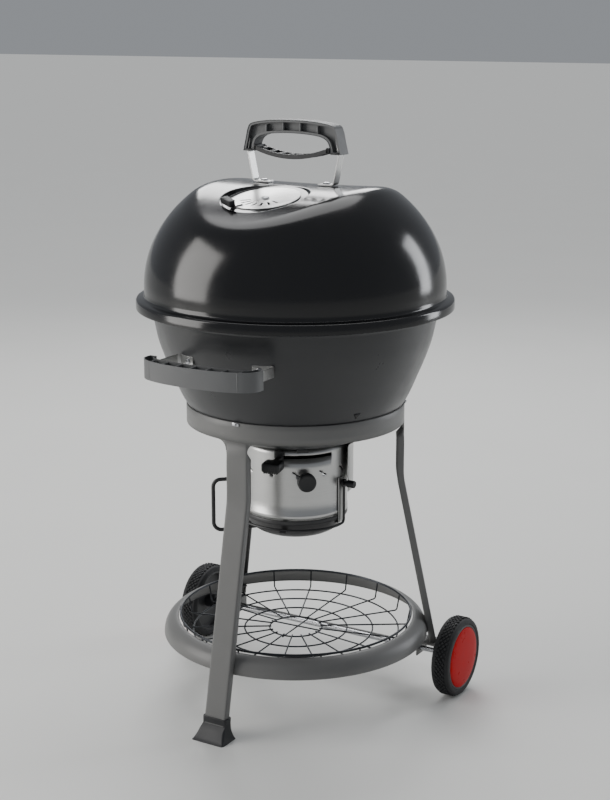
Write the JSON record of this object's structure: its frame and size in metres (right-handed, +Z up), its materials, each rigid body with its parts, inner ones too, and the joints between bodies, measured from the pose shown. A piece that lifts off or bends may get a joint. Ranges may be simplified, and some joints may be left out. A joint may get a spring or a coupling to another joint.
{
  "type": "kettle charcoal grill",
  "caption": "Round kettle charcoal grill with a domed lid, vent damper, ash catcher with pull-down pan, lever, wire shelf basket, a tripod stand and wheels.",
  "frame": {"origin": "on the floor, on the kettle's vertical axis", "axes": "+Z up, -Y towards the front leg and the bowl handle, +X towards the right wheel"},
  "size_m": [0.6206, 0.6449, 1.097],
  "materials": {
    "enamel_black": "gloss porcelain enamel",
    "enamel_grey": "semi-gloss porcelain enamel",
    "paint_grey": "satin powder coat",
    "stainless": "brushed stainless sheet",
    "steel_zinc": "bright zinc plate",
    "wire_steel": "plated welded wire",
    "wire_black": "black coated wire",
    "pan_dark": "dark grey coated sheet",
    "plastic_grey": "moulded glass-filled nylon",
    "plastic_dark": "dark moulded plastic",
    "plastic_black": "black moulded plastic",
    "tyre_black": "moulded tread",
    "cap_red": "glossy moulded cap"
  },
  "bodies": {
    "stand": {"band": "paint_grey", "leg_front": "paint_grey", "leg_right": "paint_grey", "leg_left": "paint_grey", "foot": "plastic_dark", "shelf_ring": "paint_grey", "ring_brackets": "paint_grey", "axle_brackets": "paint_grey", "axle": "steel_zinc", "axle_stay": "paint_grey", "axle_collars": "plastic_dark", "axle_clips": "steel_zinc", "bowl": "enamel_grey", "seam_tabs": "steel_zinc", "bowl_plug": "plastic_dark", "bowl_handle": "plastic_grey", "handle_brackets": "stainless", "handle_bolts": "steel_zinc", "coal_grate": "wire_steel", "coal_tabs": "steel_zinc", "cook_tabs": "steel_zinc", "drum": "stainless", "rear_shell": "stainless", "drum_knob": "plastic_black", "drum_catch": "plastic_black"},
    "lid_body": {"lid": "enamel_black", "lid_straps": "stainless", "lid_bolts": "steel_zinc", "lid_grip": "plastic_grey", "heat_guard": "plastic_dark", "damper_rivet": "steel_zinc"},
    "damper": {"damper_disc": "stainless", "damper_tab": "stainless", "damper_grip": "plastic_black"},
    "cook_grate_body": {"cook_grate": "wire_steel"},
    "sweeper": {"sweep_shaft": "steel_zinc", "sweep_blades": "steel_zinc", "lever_arm": "wire_black", "lever_knob": "plastic_black"},
    "pan_body": {"ash_pan": "pan_dark", "pan_ears": "stainless", "pivot_knobs": "plastic_black", "bail_rest": "wire_black", "pan_grab": "wire_black", "grab_strap": "pan_dark"},
    "bail_body": {"bail": "wire_black"},
    "basket_body": {"basket": "wire_steel", "basket_rim": "wire_steel"},
    "wheel_right": {"right_tyre": "tyre_black", "right_hub": "plastic_dark", "right_cap": "cap_red"},
    "wheel_left": {"left_tyre": "tyre_black", "left_hub": "plastic_dark", "left_cap": "cap_red"}
  },
  "joints": [
    {"name": "lid_lift", "type": "slide", "parent": "stand", "child": "lid_body", "axis": [0, 0, 1], "range_m": [0, 0.35]},
    {"name": "damper_turn", "type": "hinge", "parent": "lid_body", "child": "damper", "pos_m": [0, -0.1017, 0.96273], "axis": [0, -0.2, 0.9798], "range_deg": [0, 45]},
    {"name": "cook_grate_lift", "type": "slide", "parent": "stand", "child": "cook_grate_body", "axis": [0, 0, 1], "range_m": [0, 0.04]},
    {"name": "sweep_turn", "type": "hinge", "parent": "stand", "child": "sweeper", "pos_m": [0, 0, 0.489], "axis": [0, 0, 1], "range_deg": [0, 56]},
    {"name": "pan_drop", "type": "slide", "parent": "stand", "child": "pan_body", "axis": [0, 0, -1], "range_m": [0, 0.06]},
    {"name": "bail_swing", "type": "hinge", "parent": "pan_body", "child": "bail_body", "pos_m": [0, 0, 0.427], "axis": [-1, 0, 0], "range_deg": [0, 30]},
    {"name": "basket_lift", "type": "slide", "parent": "stand", "child": "basket_body", "axis": [0, 0, 1], "range_m": [0, 0.05]},
    {"name": "wheel_right_spin", "type": "hinge", "parent": "stand", "child": "wheel_right", "pos_m": [0.29, 0.117, 0.077], "axis": [1, 0, 0], "continuous": true},
    {"name": "wheel_left_spin", "type": "hinge", "parent": "stand", "child": "wheel_left", "pos_m": [-0.29, 0.117, 0.077], "axis": [1, 0, 0], "continuous": true}
  ]
}
